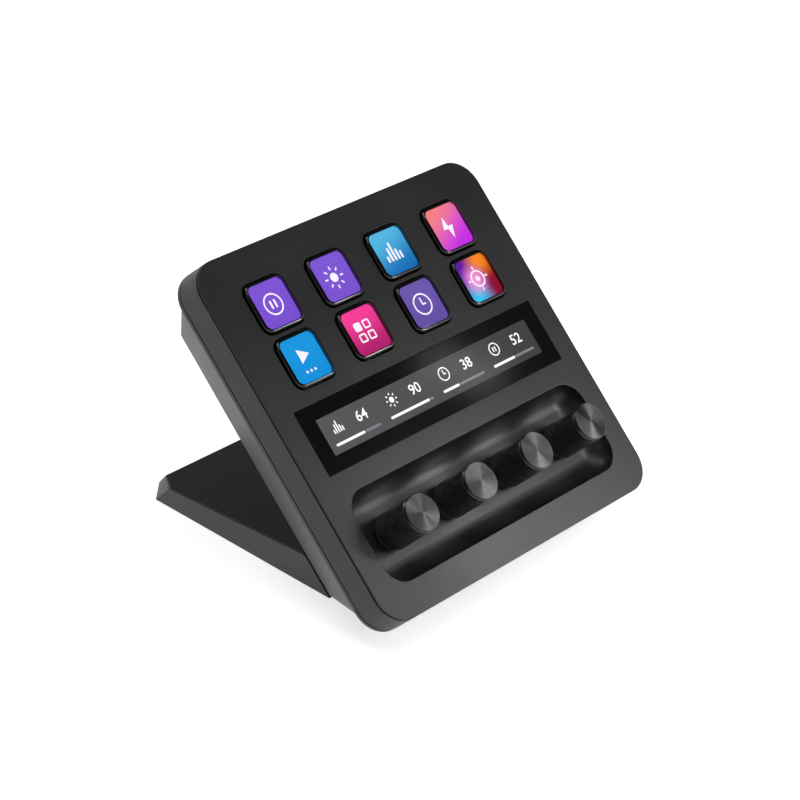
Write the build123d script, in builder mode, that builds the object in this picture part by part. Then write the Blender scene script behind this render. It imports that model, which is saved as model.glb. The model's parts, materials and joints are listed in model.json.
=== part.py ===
"""Macro keypad with a tilted face: eight display keys, a long strip display and four push dials.

Each physical piece is built in place and written to its own STEP file. The face, the mid frame,
the housing and the stand are all driven from the face plane, which leans back over the stand.
Units are millimetres. X runs to the right, the face looks towards -Y, and the desk is at Z = 0.
"""

from build123d import *
from math import atan2, cos, radians, sin, tan
import os

os.makedirs("parts", exist_ok=True)

# ---------------------------------------------------------------- overall size
face_width = 140.0
face_height = 138.0  # measured along the slope
overall_depth = 138.0
face_tilt = radians(43.39)  # lean of the face up from the desk
chin_height = 15.2  # the face's lower front edge above the desk
corner_radius = 11.0

# ---------------------------------------------------------------- general fits
moving_gap = 0.3  # between pieces that move past one another
seat_gap = 0.1  # between fixed pieces that drop into one another
running_gap = 0.05  # radial, shaft in bushing

# ---------------------------------------------------------------- faceplate
skin_edge = 0.4  # thin lip that shows beside the seam
seam_inset = 1.1
frame_front = 1.0  # depth at which the mid frame begins
plate_depth = 2.4
aperture_size = 19.8
aperture_radius = 4.1
skin_round = 0.25  # rounding of the face's outer edge
aperture_break = 0.2

# ---------------------------------------------------------------- dial trough
trough_margin = 9.8  # from each side of the face
trough_width = 35.1
trough_corner = 8.4
trough_depth = 8.0
trough_bowl = 7.6  # concave blend between the trough's walls and its floor
trough_drop = 40.05  # centre of the trough below the face's centre
tub_wall = 1.4
tub_blend = 6.4  # outside blend under the tub
lip_round = 0.3  # rounding where the trough meets the face

# ---------------------------------------------------------------- keys
key_columns = 4
key_rows = 2
column_margin = 25.36  # centres of the outer columns from each side of the face
row_pitch = 21.47
key_field_rise = 35.99  # centre of the key field above the face's centre
cap_size = 18.8
cap_radius = 3.6
cap_rise = 1.3
cap_edge = 1.1
flange_size = 20.8
flange_thick = 0.8
key_travel = 1.2
mat_thick = 1.4
mat_window = 16.4
panel_thick = 1.6

# ---------------------------------------------------------------- strip display
glass_margin = 9.1  # from each side of the face
glass_height = 24.6
glass_thick = 1.2
glass_corner = 0.5
strip_drop = 2.16  # centre of the strip below the face's centre
strip_border_side = 4.7  # glass past the display at each end
strip_border_long = 3.1
strip_thick = 2.4

# ---------------------------------------------------------------- mid frame
frame_wall = 2.4
frame_back = 11.3
web_thick = 1.6
web_foot = -18.5  # lower end of the web, above the trough's tub

# ---------------------------------------------------------------- rear housing
housing_seam = 0.5
housing_inset = 0.1
lip_back = 13.3  # depth at which the housing's straight lip ends
top_flare = 0.075  # how much the top edge rises per millimetre of depth, as far as the lip
body_corner = 15.0  # corner radius of the tapered body where it leaves the lip
rear_depth = 39.4
side_draw = 14.7  # how far the rear plane is narrower than the face, each side
top_draw = 11.7
bottom_draw = 20.4
rear_corner = 1.5
rear_round = 0.8  # rounding round the rear plane
housing_wall = 2.4

# ---------------------------------------------------------------- board and screws
board_front = 16.0
board_thick = 1.6
board_side_gap = 10.0  # from each side of the face
board_top_gap = 11.0
board_bottom_gap = 14.0
boss_radius = 3.6
column_wall = 1.5
thread_end = 1.0  # pilot holes end this far short of a screw's full length
screw_radius = 1.5
screw_head_radius = 2.8
screw_head_height = 2.2
screw_seat = 24.0  # depth of the housing screws' heads
screw_tip = 12.0
screw_margin = 23.0  # columns of screws from each side of the face
screw_row_top = 50.0
screw_row_bottom = -13.0
drive_radius = 1.1
drive_depth = 1.0

# ---------------------------------------------------------------- dials
dial_count = 4
knob_radius = 6.9
knob_top = 12.55  # above the face
rim_gap = 1.7  # between a pressed knob's rim and the trough's floor
knob_chamfer = 0.3
knob_hollow_radius = 5.6
hollow_gap = 2.3  # between a pressed knob and the end of the bushing
disc_radius = 6.9
disc_thick = 0.9
disc_chamfer = 0.2
neck_radius = 6.2  # shadow groove between sleeve and disc
neck_height = 0.25
push_travel = 0.8
shaft_radius = 3.0
shaft_top = 9.0
journal_radius = 1.5
shoulder_depth = 11.3
journal_end = 13.8
encoder_size = 12.4
bushing_radius = 3.5
bushing_top = 5.6
nut_across_flats = 9.0
nut_thick = 1.5
plunger_radius = 4.4
plunger_thick = 1.2
switch_radius = 5.0
switch_top = 10.4
switch_floor = 15.2

# ---------------------------------------------------------------- data socket
socket_width = 8.94
socket_height = 3.26
socket_wall = 0.3
socket_length = 7.5
socket_sunk = 0.4
socket_row = -18.0
tongue_width = 6.7
tongue_thick = 0.7

# ---------------------------------------------------------------- stand
base_side_step = 0.3  # the stand past the housing's rear plane, each side
base_floor = 0.2  # underside of the shell above the desk
base_seam = 0.5
front_top_height = 12.8
rear_top_height = 8.3
rear_slope_run = 7.8  # how far the rear face leans in from bottom to top
bottom_facet_side = 9.1  # rear corner facet, across X at the bottom
bottom_facet_back = 7.9
top_facet_side = 5.2
top_facet_back = 8.0
cover_thick = 0.7
cover_seam = 0.25
cover_seam_inset = 0.8
base_wall = 2.6
base_front_wall = 3.0
shell_floor_thick = 2.8
neck_margin = 1.2
pad_thick = 1.0
pad_inset = 4.0
weight_thick = 3.6
weight_side_gap = 2.1  # from the posts
weight_front_gap = 12.5  # from the hollow's front wall
weight_back_gap = 13.0
post_radius = 3.4
post_wall_gap = 1.7
post_front_gap = 16.5  # centre of the front posts from the hollow's front wall
post_back_gap = 17.0
small_screw_radius = 1.25
small_head_radius = 2.5
small_head_height = 0.9
small_screw_length = 4.6
stand_screw_margin = 17.0  # from each side of the rear plane
stand_screw_rise = 3.6  # middle of the heads above the hollow's floor
stand_screw_length = 10.6
stand_boss_height = 5.3

# ---------------------------------------------------------------- derived
half_height = face_height / 2
front_edge = -overall_depth / 2
face_y = front_edge + half_height * cos(face_tilt)
face_z = chin_height + half_height * sin(face_tilt)
face = Plane(origin=(0, face_y, face_z), x_dir=(1, 0, 0), z_dir=(0, -sin(face_tilt), cos(face_tilt)))

trough_length = face_width - 2 * trough_margin
glass_width = face_width - 2 * glass_margin
strip_width = glass_width - 2 * strip_border_side
strip_height = glass_height - 2 * strip_border_long
column_pitch = (face_width - 2 * column_margin) / (key_columns - 1)

cap_flange_top = plate_depth + moving_gap
cap_bottom = cap_flange_top + flange_thick
mat_front = cap_bottom + key_travel + moving_gap
panel_front = mat_front + mat_thick
web_front = panel_front + panel_thick
web_back = web_front + web_thick
tub_depth = trough_depth + tub_wall
board_back = board_front + board_thick
housing_front = frame_back + housing_seam
base_front_depth = rear_depth + base_seam
plunger_front = shoulder_depth + seat_gap
knob_bottom = trough_depth - push_travel - rim_gap  # below the face
knob_hollow_depth = knob_bottom - (bushing_top - push_travel - hollow_gap)

key_columns_at = [column_pitch * (i - (key_columns - 1) / 2) for i in range(key_columns)]
key_rows_at = [key_field_rise + row_pitch * ((key_rows - 1) / 2 - i) for i in range(key_rows)]
key_centres = [(u, v) for v in key_rows_at for u in key_columns_at]
dial_centres = [(column_pitch * (i - (dial_count - 1) / 2), -trough_drop) for i in range(dial_count)]

rear_half_width = face_width / 2 - side_draw
rear_top = half_height - top_draw
rear_bottom = bottom_draw - half_height
board_width = face_width - 2 * board_side_gap
board_top = half_height - board_top_gap
board_bottom = board_bottom_gap - half_height
screw_column = face_width / 2 - screw_margin
screw_rows = (screw_row_top, screw_row_bottom)
screw_spots = [(side * screw_column, v) for side in (-1, 1) for v in screw_rows]


def behind(depth):
    """Plane parallel to the face, the given depth behind it (negative is in front)."""
    return face.offset(-depth)


def depth_of(shape):
    """Depth of a shape's centre behind the face."""
    return -face.to_local_coords(shape.center()).Z


def at_depth(depth):
    """Test for the edges that lie at one depth behind the face."""
    return lambda edge: abs(depth_of(edge) - depth) < 0.01


def round_spot(centre, width, height):
    """Test for the edges on the face that lie within a width and height about a spot on it."""

    def inside(edge):
        spot = face.to_local_coords(edge.center())
        beside = abs(spot.X - centre[0]) < width / 2 + 0.01
        along = abs(spot.Y - centre[1]) < height / 2 + 0.01
        return beside and along and abs(spot.Z) < 0.01

    return inside


def rise_at(depth):
    """How far the flared top edge stands above the face's top edge at a depth."""
    return top_flare * depth


def wall_y(depth, height):
    """Y of the point at the given height on the plane that lies depth behind the face."""
    return face_y + ((height - face_z) * cos(face_tilt) + depth) / sin(face_tilt)


def wall_v(depth, height):
    """Distance up the slope, from the face's centre, of that same point."""
    return (height - face_z + depth * cos(face_tilt)) / sin(face_tilt)


front_top_y = wall_y(base_front_depth, front_top_height)
rear_edge = overall_depth / 2
rear_top_y = rear_edge - rear_slope_run
top_slope = atan2(front_top_height - rear_top_height, rear_top_y - front_top_y)

base_half_width = rear_half_width + base_side_step
stand_floor = base_floor + shell_floor_thick
hollow_front = wall_y(base_front_depth + base_front_wall, stand_floor)
hollow_back = rear_edge - base_wall - shell_floor_thick
post_column = base_half_width - base_wall - post_wall_gap - post_radius
post_front = hollow_front + post_front_gap
post_back = hollow_back - post_back_gap
post_spots = [(side * post_column, y) for side in (-1, 1) for y in (post_front, post_back)]
weight_width = 2 * (post_column - post_radius - weight_side_gap)
weight_length = hollow_back - weight_back_gap - hollow_front - weight_front_gap
weight_centre = hollow_front + weight_front_gap + weight_length / 2

stand_seat = base_front_depth + base_front_wall
stand_screw_column = rear_half_width - stand_screw_margin
stand_screw_row = wall_v(stand_seat + screw_head_height / 2, stand_floor + stand_screw_rise)
stand_spots = [(side * stand_screw_column, stand_screw_row) for side in (-1, 1)]


def lid_run(lid, depth):
    """Distance along a sloping lid from its origin to the plane that lies depth behind the face."""
    gap = wall_y(depth, lid.origin.Z) - lid.origin.Y
    return gap / (cos(top_slope) + sin(top_slope) / tan(face_tilt))


def export(builder, label):
    """Name a finished piece and write its STEP file."""
    builder.part.label = label
    export_step(builder.part, f"parts/{label}.step")


# ---------------------------------------------------------------- faceplate
with BuildPart() as trough_space:
    with BuildSketch(behind(trough_depth)):
        with Locations((0, -trough_drop)):
            RectangleRounded(trough_length, trough_width, trough_corner)
    extrude(amount=trough_depth + plate_depth)
    fillet(trough_space.edges().filter_by(at_depth(trough_depth)), trough_bowl)

with BuildPart() as faceplate:
    with BuildSketch(behind(skin_edge)):
        RectangleRounded(face_width, face_height, corner_radius)
    extrude(amount=skin_edge)
    fillet(faceplate.edges().filter_by(at_depth(0)), skin_round)
    with BuildSketch(behind(frame_front)):
        RectangleRounded(
            face_width - 2 * seam_inset, face_height - 2 * seam_inset, corner_radius - seam_inset
        )
    extrude(amount=frame_front)
    plug_inset = frame_wall + seat_gap
    with BuildSketch(behind(plate_depth)):
        RectangleRounded(
            face_width - 2 * plug_inset, face_height - 2 * plug_inset, corner_radius - plug_inset
        )
    extrude(amount=plate_depth)
    with BuildSketch(behind(tub_depth)):
        with Locations((0, -trough_drop)):
            RectangleRounded(
                trough_length + 2 * tub_wall, trough_width + 2 * tub_wall, trough_corner + tub_wall
            )
    extrude(amount=tub_depth)
    fillet(faceplate.edges().filter_by(at_depth(tub_depth)), tub_blend)
    add(trough_space.part, mode=Mode.SUBTRACT)
    trough_edges = round_spot((0, -trough_drop), trough_length, trough_width)
    fillet(faceplate.edges().filter_by(trough_edges), lip_round)
    with BuildSketch(face):
        with Locations(*key_centres):
            RectangleRounded(aperture_size, aperture_size, aperture_radius)
    extrude(amount=-plate_depth, mode=Mode.SUBTRACT)
    for centre in key_centres:
        aperture_edges = round_spot(centre, aperture_size, aperture_size)
        chamfer(faceplate.edges().filter_by(aperture_edges), aperture_break)
    with BuildSketch(face):
        with Locations((0, -strip_drop)):
            Rectangle(glass_width + 2 * seat_gap, glass_height + 2 * seat_gap)
    extrude(amount=-glass_thick, mode=Mode.SUBTRACT)
    with BuildSketch(face):
        with Locations((0, -strip_drop)):
            Rectangle(strip_width + 2 * seat_gap, strip_height + 2 * seat_gap)
    extrude(amount=-plate_depth, mode=Mode.SUBTRACT)
    with BuildSketch(face):
        with Locations(*dial_centres):
            Circle(bushing_radius + seat_gap)
    extrude(amount=-tub_depth, mode=Mode.SUBTRACT)
export(faceplate, "faceplate")

# ---------------------------------------------------------------- strip window and its display
with BuildPart() as strip_glass:
    with BuildSketch(behind(glass_thick)):
        with Locations((0, -strip_drop)):
            RectangleRounded(glass_width, glass_height, glass_corner)
    extrude(amount=glass_thick)
export(strip_glass, "strip_glass")

strip_back = glass_thick + strip_thick
with BuildPart() as strip_display:
    with BuildSketch(behind(strip_back)):
        with Locations((0, -strip_drop)):
            Rectangle(strip_width, strip_height)
    extrude(amount=strip_thick)
export(strip_display, "strip_display")

# ---------------------------------------------------------------- keys
for index, centre in enumerate(key_centres, start=1):
    with BuildPart() as key_cap:
        with BuildSketch(behind(cap_bottom)):
            with Locations(centre):
                RectangleRounded(flange_size, flange_size, cap_radius + (flange_size - cap_size) / 2)
        extrude(amount=flange_thick)
        with BuildSketch(behind(cap_bottom)):
            with Locations(centre):
                RectangleRounded(cap_size, cap_size, cap_radius)
        extrude(amount=cap_bottom + cap_rise)
        fillet(key_cap.edges().filter_by(at_depth(-cap_rise)), cap_edge)
    export(key_cap, f"key_cap_{index}")

field_width = key_columns_at[-1] - key_columns_at[0] + flange_size
field_height = row_pitch + flange_size
with BuildPart() as key_mat:
    with BuildSketch(behind(panel_front)):
        with Locations((0, key_field_rise)):
            Rectangle(field_width, field_height)
        with Locations(*key_centres):
            RectangleRounded(mat_window, mat_window, cap_radius, mode=Mode.SUBTRACT)
    extrude(amount=mat_thick)
export(key_mat, "key_mat")

with BuildPart() as key_display:
    with BuildSketch(behind(web_front)):
        with Locations((0, key_field_rise)):
            Rectangle(field_width, field_height)
    extrude(amount=panel_thick)
export(key_display, "key_display")

# ---------------------------------------------------------------- mid frame
inner_width = face_width - 2 * frame_wall
inner_height = face_height - 2 * frame_wall
inner_radius = corner_radius - frame_wall
web_height = inner_height / 2 - web_foot
web_centre = (inner_height / 2 + web_foot) / 2
with BuildPart() as mid_frame:
    for depth in (frame_back, frame_front):
        with BuildSketch(behind(depth)):
            with Locations((0, rise_at(depth) / 2)):
                RectangleRounded(face_width, face_height + rise_at(depth), corner_radius)
    loft()
    with BuildSketch(behind(frame_back)):
        RectangleRounded(inner_width, inner_height, inner_radius)
    extrude(amount=frame_back - frame_front, mode=Mode.SUBTRACT)
    with BuildSketch(behind(web_back)):
        RectangleRounded(inner_width, inner_height, inner_radius)
        with Locations((0, web_centre)):
            Rectangle(inner_width, web_height, mode=Mode.INTERSECT)
    extrude(amount=web_thick)
    with BuildSketch(behind(web_front)):
        with Locations((0, -strip_drop)):
            Rectangle(strip_width, strip_height - 2 * frame_wall)
    extrude(amount=web_front - strip_back)
    with BuildSketch(behind(board_front)):
        with Locations(*screw_spots):
            Circle(boss_radius)
    extrude(amount=board_front - web_back)
    with BuildSketch(behind(board_front)):
        with Locations(*screw_spots):
            Circle(screw_radius + running_gap)
    extrude(amount=board_front - screw_tip + moving_gap, mode=Mode.SUBTRACT)
export(mid_frame, "mid_frame")

# ---------------------------------------------------------------- main board
with BuildPart() as main_board:
    with BuildSketch(behind(board_back)):
        with Locations((0, (board_top + board_bottom) / 2)):
            Rectangle(board_width, board_top - board_bottom)
        with Locations(*screw_spots):
            Circle(screw_radius + seat_gap, mode=Mode.SUBTRACT)
    extrude(amount=board_thick)
export(main_board, "main_board")

# ---------------------------------------------------------------- dials
for index, centre in enumerate(dial_centres, start=1):
    with BuildPart() as encoder:
        with BuildSketch(behind(board_front)):
            with Locations(centre):
                Rectangle(encoder_size, encoder_size)
        extrude(amount=board_front - tub_depth)
        with BuildSketch(behind(tub_depth)):
            with Locations(centre):
                Circle(bushing_radius)
        extrude(amount=tub_depth - bushing_top)
        with BuildSketch(behind(switch_floor)):
            with Locations(centre):
                Circle(switch_radius)
        extrude(amount=switch_floor - switch_top, mode=Mode.SUBTRACT)
        with BuildSketch(behind(switch_top)):
            with Locations(centre):
                Circle(shaft_radius + running_gap)
        extrude(amount=switch_top - bushing_top, mode=Mode.SUBTRACT)
    export(encoder, f"encoder_{index}")

    with BuildPart() as plunger:
        with BuildSketch(behind(plunger_front + plunger_thick)):
            with Locations(centre):
                Circle(plunger_radius)
                Circle(journal_radius + running_gap, mode=Mode.SUBTRACT)
        extrude(amount=plunger_thick)
    export(plunger, f"plunger_{index}")

    with BuildPart() as shaft:
        with BuildSketch(behind(shoulder_depth)):
            with Locations(centre):
                Circle(shaft_radius)
        extrude(amount=shoulder_depth + shaft_top)
        with BuildSketch(behind(journal_end)):
            with Locations(centre):
                Circle(journal_radius)
        extrude(amount=journal_end - shoulder_depth)
    export(shaft, f"shaft_{index}")

    with BuildPart() as knob:
        with BuildSketch(behind(knob_bottom)):
            with Locations(centre):
                Circle(knob_radius)
        extrude(amount=knob_bottom + knob_top - neck_height)
        chamfer(knob.edges().filter_by(GeomType.CIRCLE), knob_chamfer)
        with BuildSketch(behind(-knob_top)):
            with Locations(centre):
                Circle(neck_radius)
        extrude(amount=-neck_height)
        with BuildSketch(behind(knob_bottom)):
            with Locations(centre):
                Circle(knob_hollow_radius)
        extrude(amount=knob_hollow_depth, mode=Mode.SUBTRACT)
        with BuildSketch(behind(knob_bottom)):
            with Locations(centre):
                Circle(shaft_radius)
        extrude(amount=knob_bottom + shaft_top, mode=Mode.SUBTRACT)
    export(knob, f"knob_{index}")

    with BuildPart() as knob_disc:
        with BuildSketch(behind(-knob_top)):
            with Locations(centre):
                Circle(disc_radius)
        extrude(amount=disc_thick)
        chamfer(knob_disc.edges().filter_by(at_depth(-knob_top - disc_thick)), disc_chamfer)
    export(knob_disc, f"knob_disc_{index}")

with BuildPart() as bushing_nuts:
    with BuildSketch(behind(trough_depth)):
        with Locations(*dial_centres):
            RegularPolygon(nut_across_flats / 2, 6, major_radius=False)
            Circle(bushing_radius + running_gap, mode=Mode.SUBTRACT)
    extrude(amount=nut_thick)
export(bushing_nuts, "bushing_nuts")

# ---------------------------------------------------------------- rear housing
rear_height = rear_top - rear_bottom
rear_centre = (rear_top + rear_bottom) / 2
counterbore_radius = screw_head_radius + seat_gap
column_radius = counterbore_radius + column_wall
hollow_floor = rear_depth - housing_wall
lip_width = face_width - 2 * housing_inset
lip_height = face_height - 2 * housing_inset
with BuildPart() as rear_housing:
    for depth in (lip_back, housing_front):
        with BuildSketch(behind(depth)):
            with Locations((0, rise_at(depth) / 2)):
                RectangleRounded(lip_width, lip_height + rise_at(depth), corner_radius - housing_inset)
    loft()
    with BuildSketch(behind(lip_back)):
        with Locations((0, rise_at(lip_back) / 2)):
            RectangleRounded(lip_width, lip_height + rise_at(lip_back), body_corner)
    with BuildSketch(behind(rear_depth)):
        with Locations((0, rear_centre)):
            RectangleRounded(2 * rear_half_width, rear_height, rear_corner)
    loft()
    fillet(rear_housing.edges().filter_by(at_depth(rear_depth)), rear_round)
    with BuildSketch(behind(housing_front)):
        RectangleRounded(
            face_width - 2 * seam_inset, face_height - 2 * seam_inset, corner_radius - seam_inset
        )
    extrude(amount=housing_seam)
    with BuildSketch(behind(frame_back)):
        RectangleRounded(inner_width, inner_height, inner_radius)
    with BuildSketch(behind(hollow_floor)):
        with Locations((0, rear_centre)):
            RectangleRounded(
                2 * (rear_half_width - housing_wall / 2), rear_height - housing_wall, rear_corner
            )
    loft(mode=Mode.SUBTRACT)
    with BuildSketch(behind(hollow_floor)):
        with Locations(*screw_spots):
            Circle(column_radius)
    extrude(amount=hollow_floor - board_back)
    with BuildSketch(behind(hollow_floor)):
        with Locations(*stand_spots):
            Circle(boss_radius)
    extrude(amount=stand_boss_height)
    with BuildSketch(behind(rear_depth)):
        with Locations(*screw_spots):
            Circle(counterbore_radius)
    extrude(amount=rear_depth - screw_seat, mode=Mode.SUBTRACT)
    with BuildSketch(behind(rear_depth)):
        with Locations(*screw_spots):
            Circle(screw_radius + seat_gap)
        with Locations((0, socket_row)):
            SlotOverall(socket_width + 2 * seat_gap, socket_height + 2 * seat_gap)
    extrude(amount=rear_depth - board_back, mode=Mode.SUBTRACT)
    with BuildSketch(behind(rear_depth)):
        with Locations(*stand_spots):
            Circle(screw_radius + running_gap)
    extrude(amount=stand_boss_height + housing_wall, mode=Mode.SUBTRACT)
export(rear_housing, "rear_housing")

with BuildPart() as housing_screws:
    with BuildSketch(behind(screw_seat)):
        with Locations(*screw_spots):
            Circle(screw_radius)
    extrude(amount=screw_seat - screw_tip)
    with BuildSketch(behind(screw_seat)):
        with Locations(*screw_spots):
            Circle(screw_head_radius)
    extrude(amount=-screw_head_height)
    with BuildSketch(behind(screw_seat + screw_head_height)):
        with Locations(*screw_spots):
            RegularPolygon(drive_radius, 6, major_radius=False)
    extrude(amount=drive_depth, mode=Mode.SUBTRACT)
export(housing_screws, "housing_screws")

socket_mouth = rear_depth - socket_sunk
socket_floor = socket_mouth - socket_length + socket_wall
with BuildPart() as usb_socket:
    with BuildSketch(behind(socket_mouth)):
        with Locations((0, socket_row)):
            SlotOverall(socket_width, socket_height)
    extrude(amount=socket_length)
    with BuildSketch(behind(socket_mouth)):
        with Locations((0, socket_row)):
            SlotOverall(socket_width - 2 * socket_wall, socket_height - 2 * socket_wall)
    extrude(amount=socket_length - socket_wall, mode=Mode.SUBTRACT)
    with BuildSketch(behind(socket_floor)):
        with Locations((0, socket_row)):
            Rectangle(tongue_width, tongue_thick)
    extrude(amount=-(socket_mouth - socket_floor - socket_sunk))
export(usb_socket, "usb_socket")

# ---------------------------------------------------------------- stand
top_plane = Plane(
    origin=(0, front_top_y, front_top_height),
    x_dir=(1, 0, 0),
    z_dir=(0, sin(top_slope), cos(top_slope)),
)


def base_corners(half_width, front, back, facet_side, facet_back):
    """Corners of the base in plan: straight sides and front, with a facet across each rear corner."""
    return (
        (-half_width, front),
        (half_width, front),
        (half_width, back - facet_back),
        (half_width - facet_side, back),
        (-half_width + facet_side, back),
        (-half_width, back - facet_back),
    )


# The wedge is lofted three times from its underside to its sloping top: as the outer shape,
# as the hollow inside it, and as the ledge that carries the cover inside the seam.
base_blocks = []
for inset, front_wall, floor, drop in (
    (0, 0, base_floor, 0),
    (base_wall, base_front_wall, stand_floor, cover_thick),
    (cover_seam_inset, cover_seam_inset, base_floor, cover_thick),
):
    lid = top_plane.offset(-drop)
    half_width = base_half_width - inset
    with BuildPart() as base_block:
        with BuildSketch(Plane.XY.offset(floor)):
            with BuildLine():
                Polyline(
                    *base_corners(
                        half_width,
                        wall_y(base_front_depth + front_wall, floor),
                        rear_edge - inset - (floor - base_floor),
                        bottom_facet_side,
                        bottom_facet_back,
                    ),
                    close=True,
                )
            make_face()
        with BuildSketch(lid):
            with BuildLine():
                Polyline(
                    *base_corners(
                        half_width,
                        lid_run(lid, base_front_depth + front_wall),
                        (rear_top_y + drop - front_top_y) / cos(top_slope) - inset,
                        top_facet_side,
                        top_facet_back,
                    ),
                    close=True,
                )
            make_face()
        loft(ruled=True)
    base_blocks.append(base_block.part)
outer_block, inner_block, ledge_block = base_blocks

with BuildPart() as base_cover:
    add(outer_block)
    split(bisect_by=top_plane.offset(-cover_thick), keep=Keep.TOP)
    chamfer(base_cover.faces().sort_by(Axis.Z)[-1].edges(), cover_seam)
    with BuildSketch(Plane.XY.offset(stand_floor)):
        with Locations(*post_spots):
            Circle(post_radius)
    extrude(until=Until.NEXT)
    with BuildSketch(Plane.XY.offset(stand_floor)):
        with Locations(*post_spots):
            Circle(small_screw_radius + running_gap)
    extrude(amount=small_screw_length - thread_end, mode=Mode.SUBTRACT)
export(base_cover, "base_cover")

neck_low = base_floor + neck_margin
neck_high = front_top_height - neck_margin
neck_low_v = wall_v(base_front_depth, neck_low)
neck_high_v = wall_v(base_front_depth, neck_high)
with BuildPart() as base_shell:
    add(outer_block)
    split(bisect_by=top_plane.offset(-cover_thick - cover_seam), keep=Keep.BOTTOM)
    add(ledge_block)
    with BuildSketch(behind(base_front_depth)):
        with Locations((0, (neck_low_v + neck_high_v) / 2)):
            Rectangle(2 * (base_half_width - neck_margin), neck_high_v - neck_low_v)
    extrude(amount=base_seam)
    add(inner_block, mode=Mode.SUBTRACT)
    pad_front = wall_y(base_front_depth, base_floor) + pad_inset
    with BuildSketch(Plane.XY.offset(base_floor)):
        with BuildLine():
            Polyline(
                *base_corners(
                    base_half_width - pad_inset + seat_gap,
                    pad_front - seat_gap,
                    rear_edge - pad_inset + seat_gap,
                    bottom_facet_side,
                    bottom_facet_back,
                ),
                close=True,
            )
        make_face()
    extrude(amount=pad_thick - base_floor, mode=Mode.SUBTRACT)
    with BuildSketch(Plane.XY.offset(base_floor)):
        with Locations(*post_spots):
            Circle(small_head_radius + seat_gap)
    extrude(amount=pad_thick - base_floor + small_head_height, mode=Mode.SUBTRACT)
    with BuildSketch(Plane.XY.offset(base_floor)):
        with Locations(*post_spots):
            Circle(small_screw_radius + seat_gap)
    extrude(amount=shell_floor_thick, mode=Mode.SUBTRACT)
    with BuildSketch(behind(rear_depth)):
        with Locations(*stand_spots):
            Circle(screw_radius + seat_gap)
    extrude(amount=-(base_front_wall + 2 * base_seam), mode=Mode.SUBTRACT)
export(base_shell, "base_shell")

with BuildPart() as rubber_pad:
    with BuildSketch(Plane.XY):
        with BuildLine():
            Polyline(
                *base_corners(
                    base_half_width - pad_inset,
                    pad_front,
                    rear_edge - pad_inset,
                    bottom_facet_side,
                    bottom_facet_back,
                ),
                close=True,
            )
        make_face()
    extrude(amount=pad_thick)
export(rubber_pad, "rubber_pad")

with BuildPart() as weight_plate:
    with BuildSketch(Plane.XY.offset(stand_floor)):
        with Locations((0, weight_centre)):
            Rectangle(weight_width, weight_length)
    extrude(amount=weight_thick)
export(weight_plate, "weight_plate")

head_top = pad_thick + small_head_height
with BuildPart() as base_screws:
    with BuildSketch(Plane.XY.offset(pad_thick)):
        with Locations(*post_spots):
            Circle(small_head_radius)
    extrude(amount=small_head_height)
    with BuildSketch(Plane.XY.offset(head_top)):
        with Locations(*post_spots):
            Circle(small_screw_radius)
    extrude(amount=small_screw_length)
export(base_screws, "base_screws")

with BuildPart() as stand_screws:
    with BuildSketch(behind(stand_seat)):
        with Locations(*stand_spots):
            Circle(screw_radius)
    extrude(amount=stand_screw_length)
    with BuildSketch(behind(stand_seat)):
        with Locations(*stand_spots):
            Circle(screw_head_radius)
    extrude(amount=-screw_head_height)
export(stand_screws, "stand_screws")
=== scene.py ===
"""Looks of a macro keypad: a tilted face with eight picture keys, a strip display and four push dials.

The frame gives every place. New pieces are shaped in the face's own axes, in millimetres: x to the
right along the face, y up its slope, z out of it. Laying a piece on the face turns it into metres.
"""

import json
import logging
import math
from dataclasses import dataclass
from enum import Enum

import bmesh
import bpy
from mathutils import Matrix, Vector


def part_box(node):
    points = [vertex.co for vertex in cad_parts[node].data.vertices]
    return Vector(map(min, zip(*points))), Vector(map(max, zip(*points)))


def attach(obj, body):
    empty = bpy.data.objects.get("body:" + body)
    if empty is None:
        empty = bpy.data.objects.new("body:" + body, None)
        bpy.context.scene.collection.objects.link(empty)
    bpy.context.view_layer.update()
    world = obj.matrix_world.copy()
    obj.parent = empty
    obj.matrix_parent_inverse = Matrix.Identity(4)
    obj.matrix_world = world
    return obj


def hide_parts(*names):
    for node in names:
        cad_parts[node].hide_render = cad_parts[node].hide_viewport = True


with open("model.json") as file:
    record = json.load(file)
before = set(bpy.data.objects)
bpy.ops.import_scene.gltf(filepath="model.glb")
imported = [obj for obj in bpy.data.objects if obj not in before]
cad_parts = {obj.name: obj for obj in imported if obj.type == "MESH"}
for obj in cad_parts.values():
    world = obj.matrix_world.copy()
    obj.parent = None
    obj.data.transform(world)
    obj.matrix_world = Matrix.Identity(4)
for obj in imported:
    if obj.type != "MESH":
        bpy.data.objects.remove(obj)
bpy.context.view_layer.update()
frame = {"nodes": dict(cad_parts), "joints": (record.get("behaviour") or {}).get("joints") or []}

MM = 0.001
MERGE = 1e-4  # points closer than this, in millimetres, are one point
LEVEL = 1e-3  # lengths closer than this, in millimetres, are the same
ROUND_END = 0.49  # radius of a stroke's round ends, as a share of its width

Colour = tuple[float, float, float, float]
Face = bmesh.types.BMFace
Socket = bpy.types.NodeSocket

WHITE: Colour = (1.0, 1.0, 1.0, 1.0)

log = logging.getLogger("keypad")


def paint(code: str) -> Colour:
    """Turn a six-digit display colour into a linear one.

    Args:
        code: Red, green and blue as two hexadecimal digits each.

    Returns:
        The linear colour, with an alpha of 1.
    """
    levels = [int(code[at:at + 2], 16) / 255 for at in (0, 2, 4)]
    linear = [x / 12.92 if x <= 0.04045 else ((x + 0.055) / 1.055) ** 2.4 for x in levels]
    return (*linear, 1.0)


def tint(colour: Colour, factor: float) -> Colour:
    """Return a linear colour made lighter or darker by a factor."""
    return (*(min(channel * factor, 1.0) for channel in colour[:3]), 1.0)


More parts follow.
